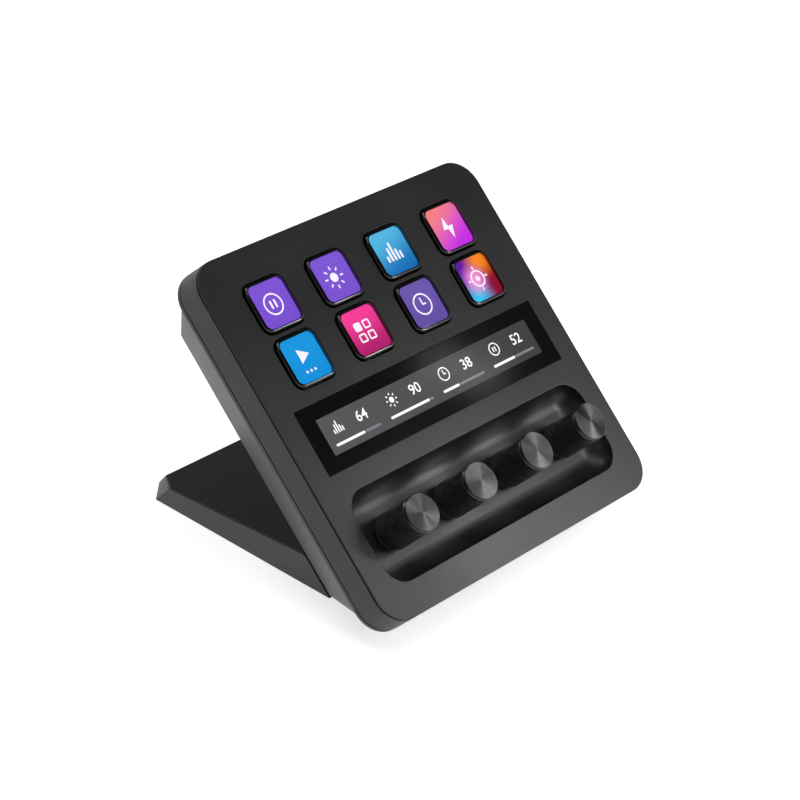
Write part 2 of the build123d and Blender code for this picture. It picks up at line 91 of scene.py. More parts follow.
# ---------------------------------------------------------------- the face
@dataclass(frozen=True)
class FacePlane:
    """The tilted face: a point on it in metres, and its lean up from the desk in radians."""

    middle: Vector
    tilt: float

    @classmethod
    def from_frame(cls, glass_thick: float) -> "FacePlane":
        """Find the face from the keys' travel and the strip's glass, which lies flush in it.

        Args:
            glass_thick: Thickness of the glass in millimetres.

        Returns:
            The face, with its point in the middle of the glass's outer side.
        """
        press = next(joint for joint in frame["joints"] if joint["name"] == "key_1_press")
        inward = Vector(press["axis"])
        low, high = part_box("strip_glass")
        middle = (low + high) / 2 - inward * glass_thick / 2 * MM
        return cls(middle, math.atan2(inward.y, -inward.z))

    def matrix(self) -> Matrix:
        """Return the matrix from the face's axes in millimetres to the frame in metres."""
        return Matrix.Translation(self.middle) @ Matrix.Rotation(self.tilt, 4, "X") @ Matrix.Scale(MM, 4)

    def span(self, node: str) -> tuple[Vector, Vector]:
        """Measure a CAD node in the face's axes.

        Args:
            node: The node's name.

        Returns:
            Its lowest and highest corners in millimetres.
        """
        turn = self.matrix().inverted()
        points = [turn @ vertex.co for vertex in frame["nodes"][node].data.vertices]
        low = Vector([min(point[axis] for point in points) for axis in range(3)])
        high = Vector([max(point[axis] for point in points) for axis in range(3)])
        return low, high

    def centre(self, node: str) -> Vector:
        """Return the middle of a CAD node along the face, on the face's surface, in millimetres."""
        low, high = self.span(node)
        return Vector(((low.x + high.x) / 2, (low.y + high.y) / 2, 0.0))


# ---------------------------------------------------------------- finishes
class Graph:
    """A material's node tree, built one node at a time."""

    def __init__(self, name: str) -> None:
        """Start a material with one shader.

        Args:
            name: Name of the material.
        """
        self.material = bpy.data.materials.new(name)
        self.material.use_nodes = True
        self.tree = self.material.node_tree
        self.shader = self.tree.nodes["Principled BSDF"]

    def add(self, kind: str, inputs: dict | None = None, **settings) -> bpy.types.Node:
        """Add a node.

        Args:
            kind: The node's type.
            inputs: Socket names or numbers, each with a value or with the socket that feeds it.
            **settings: The node's own properties.

        Returns:
            The new node.
        """
        node = self.tree.nodes.new(kind)
        for key, value in settings.items():
            setattr(node, key, value)
        for key, value in (inputs or {}).items():
            self.feed(node, key, value)
        return node

    def feed(self, node: bpy.types.Node, key: str | int, value: object) -> None:
        """Set a socket to a value, or link it to another socket.

        Args:
            node: The node that has the socket.
            key: The socket's name or number.
            value: A number, a colour or an output socket.
        """
        if isinstance(value, Socket):
            self.tree.links.new(value, node.inputs[key])
        else:
            node.inputs[key].default_value = value

    def dress(self, **sockets) -> None:
        """Set the shader's sockets, named with underscores for spaces."""
        for key, value in sockets.items():
            self.feed(self.shader, key.replace("_", " "), value)

    def place(self, middle: Vector, tilt: float = 0.0) -> Socket:
        """Give object coordinates in millimetres about a point.

        Args:
            middle: The point in metres.
            tilt: Turn of the coordinates about X in radians.

        Returns:
            The socket with the coordinates.
        """
        source = self.add("ShaderNodeTexCoord").outputs["Object"]
        mapping = self.add(
            "ShaderNodeMapping",
            {"Vector": source, "Location": middle, "Rotation": (tilt, 0, 0), "Scale": (MM, MM, MM)},
            vector_type="TEXTURE",
        )
        return mapping.outputs["Vector"]

    def noise(self, where: Socket, size: float, detail: float = 2.0) -> Socket:
        """Give a noise from 0 to 1.

        Args:
            where: Coordinates in millimetres.
            size: Size of the noise's lumps in millimetres.
            detail: Number of finer layers.

        Returns:
            The socket with the noise.
        """
        inputs = {"Vector": where, "Scale": 1 / size, "Detail": detail}
        return self.add("ShaderNodeTexNoise", inputs).outputs[0]

    def radius(self, where: Socket) -> Socket:
        """Give the distance from the coordinates' z axis."""
        flat = self.add("ShaderNodeVectorMath", {0: where, 1: (1.0, 1.0, 0.0)}, operation="MULTIPLY")
        return self.add("ShaderNodeVectorMath", {0: flat.outputs[0]}, operation="LENGTH").outputs[1]

    def ramp(self, value: Socket, start: float, end: float, low: float = 0.0, high: float = 1.0,
             kind: str = "LINEAR") -> Socket:
        """Spread the range from start to end over the range from low to high.

        Args:
            value: The socket to spread.
            start: Its value at the foot of the ramp.
            end: Its value at the top of the ramp.
            low: Level at the foot and before it.
            high: Level at the top and beyond it.
            kind: How the ramp runs, LINEAR or SMOOTHSTEP.

        Returns:
            The socket with the level.
        """
        inputs = {"Value": value, "From Min": start, "From Max": end, "To Min": low, "To Max": high}
        return self.add("ShaderNodeMapRange", inputs, interpolation_type=kind).outputs[0]

    def between(self, value: Socket, low: float, high: float) -> Socket:
        """Spread the 0.3 to 0.7 that a noise mostly stays in over the range from low to high."""
        return self.ramp(value, 0.3, 0.7, low, high)

    def mix(self, factor: object, first: object, second: object, blend: str = "MIX") -> Socket:
        """Blend two colours.

        Args:
            factor: Share of the second colour, a number or a socket.
            first: The first colour or socket.
            second: The second colour or socket.
            blend: How they are blended.

        Returns:
            The socket with the colour.
        """
        node = self.add("ShaderNodeMix", data_type="RGBA", blend_type=blend)
        self.feed(node, 0, factor)
        self.feed(node, 6, first)
        self.feed(node, 7, second)
        return node.outputs[2]

    def maths(self, operation: str, *terms: object) -> Socket:
        """Return the result of one sum on one to three numbers or sockets."""
        return self.add("ShaderNodeMath", dict(enumerate(terms)), operation=operation).outputs[0]

    def relief(self, height: Socket, depth: float, edge: float = 0.0) -> None:
        """Give the shader a bumped normal.

        Args:
            height: Height from 0 to 1.
            depth: What a height of 1 stands for, in millimetres.
            edge: Radius at which sharp edges are softened, in millimetres.
        """
        bump = self.add("ShaderNodeBump", {"Height": height, "Distance": depth * MM})
        if edge:
            bevel = self.add("ShaderNodeBevel", {"Radius": edge * MM}, samples=6)
            self.feed(bump, "Normal", bevel.outputs[0])
        self.dress(Normal=bump.outputs[0])


@dataclass(frozen=True)
class SeamShade:
    """Painted shade in the two seam gaps round the head, in millimetres from the middle of the face.

    Each band has the height of a seam's middle and half the seam's width. A seam shows only outside
    the rim, which is a distance along x or y.
    """

    middle: Vector
    tilt: float
    rim: float = 64.5
    bands: tuple[tuple[float, float], ...] = ((-0.72, 0.38), (-11.6, 0.35))
    # painted shade: the near-black colour put in a seam, where shade falls in the gap
    dark: Colour = (0.001, 0.001, 0.001, 1.0)

    def shade(self, graph: Graph) -> Socket:
        """Give 1 inside a seam, where the shade is painted, and 0 elsewhere."""
        split = graph.add("ShaderNodeSeparateXYZ", {0: graph.place(self.middle, self.tilt)})
        across, along = (graph.maths("ABSOLUTE", split.outputs[axis]) for axis in (0, 1))
        outer = graph.maths("GREATER_THAN", graph.maths("MAXIMUM", across, along), self.rim)
        inside = [graph.maths("COMPARE", split.outputs[2], height, half) for height, half in self.bands]
        return graph.maths("MULTIPLY", outer, graph.maths("MAXIMUM", *inside))


@dataclass(frozen=True)
class MouldedPlastic:
    """Textured plastic: fine moulded grain, a slight mottle, softened edges and painted shade in the seam
    gaps.
    """

    name: str
    colour: str
    roughness: float
    grain: float = 0.16
    grain_depth: float = 0.004
    mottle: float = 0.07
    cloud: float = 34.0
    speck: float = 0.5
    speck_share: float = 0.35
    spread: float = 0.03
    edge: float = 0.25
    shine: float = 0.5
    seam_shade: SeamShade | None = None

    def build(self) -> bpy.types.Material:
        """Make the material."""
        graph = Graph(self.name)
        where = graph.place(Vector())
        base = paint(self.colour)
        cloud = graph.noise(where, self.cloud)
        speck = graph.noise(where, self.speck)
        shade = graph.mix(cloud, tint(base, 1 - self.mottle), tint(base, 1 + self.mottle))
        fleck = graph.mix(speck, tint(base, 1 - 2 * self.mottle), tint(base, 1 + 2 * self.mottle))
        colour = graph.mix(self.speck_share, shade, fleck)
        roughness = graph.between(cloud, self.roughness - self.spread, self.roughness + self.spread)
        # painted shade: near black and fully rough inside the seam gaps round the head
        if self.seam_shade:
            seam = self.seam_shade.shade(graph)
            colour = graph.mix(seam, colour, self.seam_shade.dark)
            roughness = graph.maths("MAXIMUM", roughness, seam)
        graph.dress(Base_Color=colour, Roughness=roughness, Specular_IOR_Level=self.shine)
        graph.relief(graph.noise(where, self.grain, 3.0), self.grain_depth, self.edge)
        return graph.material


@dataclass(frozen=True)
class RolledMetal:
    """Plated or black steel, with faint streaks."""

    name: str
    colour: str
    roughness: float
    streak: float = 0.5
    squeeze: float = 0.12
    tones: tuple[float, float] = (0.86, 1.1)
    spread: float = 0.05
    depth: float = 0.002
    edge: float = 0.1

    def build(self) -> bpy.types.Material:
        """Make the material."""
        graph = Graph(self.name)
        inputs = {"Vector": graph.place(Vector()), "Scale": (self.squeeze, 1.0, 1.0)}
        stretched = graph.add("ShaderNodeMapping", inputs).outputs["Vector"]
        streaks = graph.noise(stretched, self.streak, 3.0)
        graph.dress(
            Base_Color=graph.mix(streaks, *(tint(paint(self.colour), tone) for tone in self.tones)),
            Metallic=1.0,
            Roughness=graph.between(streaks, self.roughness - self.spread, self.roughness + self.spread),
        )
        graph.relief(streaks, self.depth, self.edge)
        return graph.material


@dataclass(frozen=True)
class SpunMetal:
    """Anodised metal faced on a lathe: fine rings, steeper on one flank, that spread light into fans."""

    name: str
    colour: str
    roughness: float
    ring_pitch: float
    middle: Vector
    tilt: float
    ring_depth: float = 0.0012
    flank: float = 0.12
    tones: tuple[float, float] = (0.9, 1.08)
    tone_rate: float = 2.3
    spread: float = 0.04

    def build(self) -> bpy.types.Material:
        """Make the material."""
        graph = Graph(self.name)
        radius = graph.radius(graph.place(self.middle, self.tilt))
        turns = graph.maths("MULTIPLY", radius, 2 * math.pi / self.ring_pitch)
        rings = graph.maths("MULTIPLY_ADD", graph.maths("SINE", turns), 0.5, 0.5)
        slow = graph.between(graph.maths("SINE", graph.maths("MULTIPLY", radius, self.tone_rate)), 0.3, 0.7)
        tangent = graph.add("ShaderNodeTangent", direction_type="UV_MAP", uv_map="spin")
        graph.dress(
            Base_Color=graph.mix(slow, *(tint(paint(self.colour), tone) for tone in self.tones)),
            Metallic=1.0,
            Roughness=graph.between(rings, self.roughness, self.roughness + self.spread),
            Anisotropic=1.0,
            Tangent=tangent.outputs[0],
        )
        flank = graph.maths("MULTIPLY", radius, -self.flank)
        graph.relief(graph.maths("MULTIPLY_ADD", rings, self.ring_depth, flank), 1.0)
        return graph.material


@dataclass(frozen=True)
class BlackAnodise:
    """Black anodised aluminium on a turned piece, worn paler on the points of its knurl."""

    name: str
    colour: str
    worn: str
    roughness: float
    middle: Vector
    tilt: float
    tips: tuple[float, float]
    wear: float = 2.6
    patch: float = 0.7
    spread: float = 0.08
    shine: float = 0.9
    grain: float = 0.12
    grain_depth: float = 0.001

    def build(self) -> bpy.types.Material:
        """Make the material."""
        graph = Graph(self.name)
        where = graph.place(self.middle, self.tilt)
        tip = graph.ramp(graph.radius(where), *self.tips)
        wear = graph.between(graph.noise(where, self.wear, 4.0), 0.5, 1.0)
        patch = graph.noise(where, self.patch)
        graph.dress(
            Base_Color=graph.mix(graph.maths("MULTIPLY", tip, wear), paint(self.colour), paint(self.worn)),
            Roughness=graph.between(patch, self.roughness, self.roughness + self.spread),
            Specular_IOR_Level=self.shine,
        )
        graph.relief(graph.noise(where, self.grain), self.grain_depth)
        return graph.material


@dataclass(frozen=True)
class ClearPlastic:
    """Clear cast plastic with a barely uneven surface."""

    name: str
    index: float = 1.49
    tinge: Colour = (0.97, 0.98, 1.0, 1.0)
    smear: float = 5.0
    haze: float = 0.03
    wave: float = 0.002

    def build(self) -> bpy.types.Material:
        """Make the material."""
        graph = Graph(self.name)
        smear = graph.noise(graph.place(Vector()), self.smear)
        graph.dress(
            Base_Color=graph.mix(smear, self.tinge, WHITE),
            Roughness=graph.between(smear, 0.0, self.haze),
            Transmission_Weight=1.0,
            IOR=self.index,
        )
        graph.relief(smear, self.wave)
        return graph.material


@dataclass(frozen=True)
class GlossBlack:
    """Gloss black print or moulding, with faint dust and waviness."""

    name: str
    colour: str = "060607"
    roughness: float = 0.12
    wave: float = 0.01
    wave_size: float = 9.0
    dust: float = 0.8
    tones: tuple[float, float] = (0.7, 1.5)
    spread: float = 0.02

    def build(self) -> bpy.types.Material:
        """Make the material."""
        graph = Graph(self.name)
        where = graph.place(Vector())
        dust = graph.noise(where, self.dust, 4.0)
        graph.dress(
            Base_Color=graph.mix(dust, *(tint(paint(self.colour), tone) for tone in self.tones)),
            Roughness=graph.between(dust, self.roughness, self.roughness + self.spread),
        )
        graph.relief(graph.noise(where, self.wave_size), self.wave)
        return graph.material


class Blend(Enum):
    """How a lit picture's colours run."""

    PLAIN = "plain"
    SLOPE = "slope"
    AURORA = "aurora"


@dataclass(frozen=True)
class Spot:
    """A soft round spot of colour: its middle and how far it reaches, in millimetres."""

    x: float
    y: float
    reach: float


@dataclass(frozen=True)
class LitPicture:
    """A lit panel: colours that run across it, under a fine grid of picture cells."""

    name: str
    blend: Blend
    colours: tuple[str, ...]
    middle: Vector
    tilt: float
    reach: float = 8.2
    heading: float = -90.0
    strength: float = 1.0
    glazed: bool = False
    spots: tuple[Spot, ...] = (Spot(-4.0, -7.5, 9.5), Spot(4.5, 6.5, 9.0), Spot(-1.5, 0.0, 7.5))
    cell: float = 0.17
    cell_depth: float = 0.07
    unlit: float = 0.25
    roughness: float = 0.1

    def grid(self, graph: Graph, where: Socket) -> Socket:
        """Give the cells' faint grid, a little over 1 in a cell and a little under 1 between cells."""
        split = graph.add("ShaderNodeSeparateXYZ", {0: where})
        waves = []
        for axis in (0, 1):
            turns = graph.maths("MULTIPLY", split.outputs[axis], 2 * math.pi / self.cell)
            waves.append(graph.maths("SINE", turns))
        return graph.ramp(graph.maths("ADD", *waves), -2.0, 2.0, 1 - self.cell_depth, 1 + self.cell_depth)

    def run(self, graph: Graph, where: Socket) -> Socket:
        """Give a ramp from 0 to 1 across the panel towards its heading, which is in degrees."""
        angle = math.radians(self.heading)
        inputs = {0: where, 1: (math.cos(angle), math.sin(angle), 0.0)}
        along = graph.add("ShaderNodeVectorMath", inputs, operation="DOT_PRODUCT").outputs[1]
        return graph.ramp(along, -self.reach, self.reach, kind="SMOOTHSTEP")

    def glow(self, graph: Graph, where: Socket, spot: Spot) -> Socket:
        """Give 1 in the middle of a spot, and 0 at its reach and beyond."""
        inputs = {0: where, 1: (spot.x, spot.y, 0.0)}
        away = graph.add("ShaderNodeVectorMath", inputs, operation="DISTANCE").outputs[1]
        return graph.ramp(away, spot.reach, 0.0, kind="SMOOTHSTEP")

    def build(self) -> bpy.types.Material:
        """Make the material."""
        graph = Graph(self.name)
        where = graph.place(self.middle, self.tilt)
        tones = [paint(code) for code in self.colours]
        colour = graph.mix(self.run(graph, where), tones[0], tones[-1])
        if self.blend is Blend.AURORA:
            for spot, tone in zip(self.spots, tones[1:-1]):
                colour = graph.mix(self.glow(graph, where, spot), colour, tone)
        graph.dress(
            Base_Color=graph.mix(1.0, colour, tint(WHITE, self.unlit), "MULTIPLY"),
            Emission_Color=graph.mix(1.0, colour, self.grid(graph, where), "MULTIPLY"),
            Emission_Strength=self.strength,
            Roughness=self.roughness,
            Specular_IOR_Level=0.5 if self.glazed else 0.0,
        )
        return graph.material


# ---------------------------------------------------------------- shaping
class Clay:
    """A mesh being shaped in the face's axes, in millimetres."""

    def __init__(self) -> None:
        """Start with nothing."""
        self.mesh = bmesh.new()

    def plate(
        self,
        width: float,
        height: float,
        radius: float,
        low: float,
        high: float,
        at: tuple[float, float] = (0.0, 0.0),
        turn: float = 0.0,
        wall: float = 0.0,
        steps: int = 8,
    ) -> list[Face]:
        """Make a plate with rounded corners, or its outline alone.

        Args:
            width: Size along x before the turn.
            height: Size along y before the turn.
            radius: Radius of the corners.
            low: Height of the underside.
            high: Height of the top.
            at: Middle of the plate.
            turn: Turn in degrees.
            wall: Width of the outline, or 0 for a full plate.
            steps: Faces round each corner.

        Returns:
            The faces of the top.
        """
        matrix = (
            Matrix.Translation((at[0], at[1], low))
            @ Matrix.Rotation(math.radians(turn), 4, "Z")
            @ Matrix.Diagonal((width, height, 1, 1))
        )
        before = set(self.mesh.faces)
        made = bmesh.ops.create_grid(self.mesh, x_segments=1, y_segments=1, size=0.5, matrix=matrix)
        if radius:
            bmesh.ops.bevel(
                self.mesh, geom=made["verts"], offset=radius, offset_type="OFFSET", segments=steps,
                profile=0.5, affect="VERTICES", material=-1,
            )
        flat = self.fresh(before)
        if wall:
            inner = flat
            flat = bmesh.ops.inset_region(
                self.mesh, faces=flat, thickness=wall, use_boundary=True
            )["faces"]
            bmesh.ops.delete(self.mesh, geom=inner, context="FACES")
        return self.raised(flat, high - low)

    def fresh(self, before: set[Face]) -> list[Face]:
        """Return the faces that weren't there before."""
        return [face for face in self.mesh.faces if face not in before]

    def raised(self, faces: list[Face], rise: float) -> list[Face]:
        """Extrude flat faces upwards, or downwards for a rise below 0, and return the new flat ones."""
        made = bmesh.ops.extrude_face_region(self.mesh, geom=faces, use_keep_orig=True)["geom"]
        points = [part for part in made if isinstance(part, bmesh.types.BMVert)]
        bmesh.ops.translate(self.mesh, verts=points, vec=(0, 0, rise))
        return [part for part in made if isinstance(part, bmesh.types.BMFace)]

    def rounded_rim(self, faces: list[Face], radius: float, steps: int) -> None:
        """Round the edge round a group of faces.

        Args:
            faces: The faces inside the edge.
            radius: Radius of the rounding.
            steps: Faces across it.
        """
        inside = set(faces)
        rim = [edge for edge in self.mesh.edges if len(inside.intersection(edge.link_faces)) == 1]
        bmesh.ops.bevel(
            self.mesh, geom=rim, offset=radius, offset_type="OFFSET", segments=steps,
            profile=0.5, affect="EDGES", material=-1,
        )

    def top_faces(self, level: float) -> list[Face]:
        """Return the flat faces at a height."""
        return [face for face in self.mesh.faces if face.calc_center_median().z > level - LEVEL]

    def sunk(self, level: float, margin: float, depth: float) -> None:
        """Sink the flat top inside a margin, which leaves a recess.

        Args:
            level: Height of the top.
            margin: Width of the rim that stays.
            depth: Depth of the recess.
        """
        faces = self.top_faces(level)
        bmesh.ops.inset_region(self.mesh, faces=faces, thickness=margin)
        self.raised(faces, -depth)
        bmesh.ops.delete(self.mesh, geom=faces, context="FACES_ONLY")

    def turned(self, profile: list[tuple[float, float]], steps: int) -> None:
        """Turn a profile of radius and height round the z axis.

        Args:
            profile: The profile's points.
            steps: Faces round the axis.
        """
        points = [self.mesh.verts.new((radius, 0.0, height)) for radius, height in profile]
        edges = [self.mesh.edges.new(pair) for pair in zip(points, points[1:])]
        bmesh.ops.spin(
            self.mesh, geom=points + edges, cent=(0, 0, 0), axis=(0, 0, 1), dvec=(0, 0, 0),
            angle=2 * math.pi, steps=steps, use_merge=True,
        )
        bmesh.ops.remove_doubles(self.mesh, verts=self.mesh.verts, dist=MERGE)

    def ring(self, radius: float, wall: float, low: float, high: float, steps: int = 48) -> None:
        """Make a flat ring round the z axis, from its outer radius inwards by a wall."""
        inner = radius - wall
        self.turned([(inner, low), (radius, low), (radius, high), (inner, high), (inner, low)], steps)

    def dot(self, radius: float, low: float, high: float, at: tuple[float, float] = (0.0, 0.0),
            sides: int = 32, turn: float = 0.0) -> None:
        """Make a flat disc, or a regular polygon of a few sides, round a middle."""
        matrix = Matrix.Translation((at[0], at[1], low)) @ Matrix.Rotation(math.radians(turn), 4, "Z")
        before = set(self.mesh.faces)
        bmesh.ops.create_circle(self.mesh, cap_ends=True, segments=sides, radius=radius, matrix=matrix)
        self.raised(self.fresh(before), high - low)

    def outline(self, points: list[tuple[float, float]], low: float, high: float) -> None:
        """Make a flat piece with straight edges from its corners."""
        face = self.mesh.faces.new([self.mesh.verts.new((x, y, low)) for x, y in points])
        self.raised([face], high - low)

    def letters(self, text: str, size: float, low: float, high: float, at: tuple[float, float],
                weight: float) -> None:
        """Make raised plain figures.

        Args:
            text: The figures.
            size: Their nominal height.
            low: Height of the underside.
            high: Height of the top.
            at: Middle of the figures.
            weight: How much the strokes are thickened.
        """
        curve = bpy.data.curves.new("figures", "FONT")
        curve.body = text
        curve.size = size
        curve.offset = weight
        curve.align_x = "CENTER"
        curve.align_y = "CENTER"
        curve.resolution_u = 4
        holder = bpy.data.objects.new("figures", curve)
        flat = bpy.data.meshes.new_from_object(holder)
        flat.transform(Matrix.Translation((at[0], at[1], low)))
        before = set(self.mesh.faces)
        self.mesh.from_mesh(flat)
        self.raised(self.fresh(before), high - low)
        bpy.data.objects.remove(holder)
        bpy.data.curves.remove(curve)
        bpy.data.meshes.remove(flat)

    def take(self, other: "Clay") -> None:
        """Add another mesh to this one, and free it."""
        loose = bpy.data.meshes.new("loose")
        other.mesh.to_mesh(loose)
        other.mesh.free()
        self.mesh.from_mesh(loose)
        bpy.data.meshes.remove(loose)

    def lay(self, name: str, matrix: Matrix, material: bpy.types.Material, body: str, slot: str,
            smooth: float = 30.0) -> bpy.types.Object:
        """Finish the mesh and lay it in the frame.

        Args:
            name: Name of the piece.
            matrix: From the face's axes to the frame.
            material: Its material.
            body: The body that carries it.
            slot: Not used.
            smooth: Edges flatter than this, in degrees, are shaded smooth.

        Returns:
            The piece.
        """
        bmesh.ops.remove_doubles(self.mesh, verts=self.mesh.verts, dist=MERGE)
        bmesh.ops.recalc_face_normals(self.mesh, faces=self.mesh.faces)
        data = bpy.data.meshes.new(name)
        self.mesh.to_mesh(data)
        self.mesh.free()
        data.transform(matrix)
        data.shade_smooth()
        data.set_sharp_from_angle(angle=math.radians(smooth))
        data.materials.append(material)
        piece = bpy.data.objects.new(name, data)
        bpy.context.scene.collection.objects.link(piece)
        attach(piece, body)
        log.info("%s: %d faces on %s", name, len(data.polygons), body)
        return piece


# ---------------------------------------------------------------- keys
class Motif(Enum):
    """The plain symbols on the keys' pictures."""

    PAUSE = "pause"
    SUN = "sun"
    LEVELS = "levels"
    BOLT = "bolt"
    PLAY = "play"
    TILES = "tiles"
    CLOCK = "clock"
    TARGET = "target"


@dataclass(frozen=True)
class Symbol:
    """Draws one motif as thin raised strokes."""

    motif: Motif
    low: float
    high: float
    stroke: float = 0.62

    def draw(self) -> Clay:
        """Return the motif's mesh."""
        clay = Clay()
        getattr(self, self.motif.value)(clay)
        return clay

    def bar(self, clay: Clay, length: float, at: tuple[float, float], turn: float = 90.0,
            width: float | None = None) -> None:
        """Draw a stroke with round ends."""
        width = width or self.stroke
        clay.plate(length, width, width * ROUND_END, self.low, self.high, at, turn, steps=4)

    def spokes(self, clay: Clay, count: int, length: float, reach: float) -> None:
        """Draw strokes that point outwards, with their middles on a circle of a radius."""
        for index in range(count):
            turn = 360 / count * index
            angle = math.radians(turn)
            self.bar(clay, length, (reach * math.cos(angle), reach * math.sin(angle)), turn)

    def pause(self, clay: Clay) -> None:
        """Draw two bars in a ring."""
        clay.ring(4.1, self.stroke, self.low, self.high)
        for side in (-1, 1):
            self.bar(clay, length=3.2, at=(side * 0.95, 0.0), width=0.85)

    def sun(self, clay: Clay) -> None:
        """Draw a disc with rays."""
        clay.dot(1.75, self.low, self.high)
        self.spokes(clay, count=8, length=1.5, reach=3.6)

    def levels(self, clay: Clay) -> None:
        """Draw upright bars of several heights on a line."""
        heights = (2.6, 5.4, 7.2, 4.2, 3.0)
        pitch = 1.65
        foot = -3.4
        for index, height in enumerate(heights):
            place = (index - len(heights) // 2) * pitch
            self.bar(clay, height, (place, foot + height / 2), width=0.95)

    def bolt(self, clay: Clay) -> None:
        """Draw a zigzag flash, whose second half is its first turned round."""
        half = [(-0.5, 4.4), (-2.6, -0.5), (-0.25, -0.5)]
        clay.outline(half + [(-x, -y) for x, y in half], self.low, self.high)

    def play(self, clay: Clay) -> None:
        """Draw a triangle above three dots."""
        clay.dot(3.1, self.low, self.high, at=(-0.3, 1.3), sides=3, turn=-90.0)
        pitch = 1.9
        for index in (-1, 0, 1):
            clay.dot(0.5, self.low, self.high, at=(index * pitch, -4.6), sides=20)

    def tiles(self, clay: Clay) -> None:
        """Draw four small squares, one of them filled."""
        size = 3.3
        corner = 0.7
        half_pitch = 2.15
        for x in (-1, 1):
            for y in (-1, 1):
                wall = 0.0 if (x, y) == (-1, 1) else self.stroke
                place = (x * half_pitch, y * half_pitch)
                clay.plate(size, size, corner, self.low, self.high, place, wall=wall, steps=4)

    def clock(self, clay: Clay) -> None:
        """Draw a dial with two hands."""
        clay.ring(4.2, self.stroke, self.low, self.high)
        self.bar(clay, length=2.8, at=(0.0, 1.2))
        self.bar(clay, length=2.0, at=(0.75, -0.1), turn=0.0)

    def target(self, clay: Clay) -> None:
        """Draw a ring round a dot, with four ticks."""
        clay.ring(3.3, self.stroke, self.low, self.high)
        clay.dot(1.0, self.low, self.high)
        self.spokes(clay, count=4, length=1.5, reach=4.3)


@dataclass(frozen=True)
class KeyFace:
    """What one key shows."""

    motif: Motif
    blend: Blend
    colours: tuple[str, ...]
    heading: float = -90.0


KEY_FACES = (
    KeyFace(Motif.PAUSE, Blend.PLAIN, ("7f55d2", "7a50cc")),
    KeyFace(Motif.SUN, Blend.PLAIN, ("7f58d2", "7b53cd")),
    KeyFace(Motif.LEVELS, Blend.SLOPE, ("55b7e2", "1a6fb4"), -75.0),
    KeyFace(Motif.BOLT, Blend.SLOPE, ("f27f86", "c52fe0"), -60.0),
    KeyFace(Motif.PLAY, Blend.PLAIN, ("1b97dd", "1690d8")),
    KeyFace(Motif.TILES, Blend.SLOPE, ("f5409a", "b0226a"), -85.0),
    KeyFace(Motif.CLOCK, Blend.PLAIN, ("6d58ab", "6650a4")),
    KeyFace(Motif.TARGET, Blend.AURORA, ("5a1fa8", "38c8ee", "ff8c1a", "ff9ce0", "8c1020"), 0.0),
)


@dataclass(frozen=True)
class Keys:
    """The eight keys: a gloss black cap with its flange, and a lit picture under a clear window."""

    plane: FacePlane
    cap_size: float = 18.8
    cap_radius: float = 3.6
    cap_round: float = 0.9
    cap_steps: int = 6
    rim: float = 1.1
    recess_floor: float = -0.96
    picture_top: float = -0.9
    picture_strength: float = 0.95
    symbol_top: float = -0.87
    window_low: float = -0.93
    window_sunk: float = 0.04
    window_press: float = 0.02
    crown_step: float = 0.45
    crown_rises: tuple[float, ...] = (0.005, 0.004, 0.003, 0.002, 0.001)
    flange_thick: float = 0.8

    def build(self) -> None:
        """Make every key."""
        clear = ClearPlastic("key_clear").build()
        black = GlossBlack("key_black").build()
        white = LitPicture(
            "symbol_white", Blend.PLAIN, ("f4eefa", "f6f0fc"), self.plane.middle, self.plane.tilt
        ).build()
        for number, face in enumerate(KEY_FACES, start=1):
            self.key(number, face, clear, black, white)

    def key(self, number: int, face: KeyFace, clear: bpy.types.Material, black: bpy.types.Material,
            white: bpy.types.Material) -> None:
        """Make one key.

        Args:
            number: The key's number, 1 to 8.
            face: What it shows.
            clear: Material of the window.
            black: Material of the cap.
            white: Material of the symbol.
        """
        node = f"key_cap_{number}"
        body = f"key_{number}"
        low, high = self.plane.span(node)
        matrix = self.plane.matrix() @ Matrix.Translation(self.plane.centre(node))
        flange_size = high.x - low.x
        flange_radius = self.cap_radius + (flange_size - self.cap_size) / 2
        picture_size = self.cap_size - 2 * self.rim
        picture_radius = self.cap_radius - self.rim

        clay = Clay()
        top = clay.plate(self.cap_size, self.cap_size, self.cap_radius, low.z, high.z)
        clay.rounded_rim(top, self.cap_round, self.cap_steps)
        clay.sunk(high.z, self.rim - self.cap_round, high.z - self.recess_floor)
        clay.plate(flange_size, flange_size, flange_radius, low.z, low.z + self.flange_thick)
        cap = clay.lay(f"key_body_{number}", matrix, black, body, "key_clear")

        clay = Clay()
        clay.plate(picture_size, picture_size, picture_radius, self.recess_floor, self.picture_top)
        finish = LitPicture(
            f"key_picture_{number}", face.blend, face.colours, matrix.translation, self.plane.tilt,
            heading=face.heading, strength=self.picture_strength,
        )
        clay.lay(f"key_picture_{number}", matrix, finish.build(), body, "display")

        symbol = Symbol(face.motif, self.picture_top, self.symbol_top).draw()
        symbol.lay(f"key_symbol_{number}", matrix, white, body, "display")

        clay = Clay()
        width = picture_size + 2 * self.window_press
        window_top = high.z - self.window_sunk
        clay.plate(width, width, picture_radius, self.window_low, window_top)
        self.crown(clay, window_top)
        window = clay.lay(f"key_lens_{number}", matrix, clear, body, "key_clear")
        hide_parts(node)
        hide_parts(node)

    def crown(self, clay: Clay, top: float) -> None:
        """Dome the flat top of a window by shallow rings."""
        faces = clay.top_faces(top)
        for rise in self.crown_rises:
            bmesh.ops.inset_region(clay.mesh, faces=faces, thickness=self.crown_step, depth=rise)


# ---------------------------------------------------------------- strip display
@dataclass(frozen=True)
class Gauge:
    """One quarter of the strip: a plain number, how full its bar is, and a motif."""

    text: str
    share: float
    motif: Motif


GAUGES = (
    Gauge("64", 0.64, Motif.LEVELS),
    Gauge("90", 0.90, Motif.SUN),
    Gauge("38", 0.38, Motif.CLOCK),
    Gauge("52", 0.52, Motif.PAUSE),
)


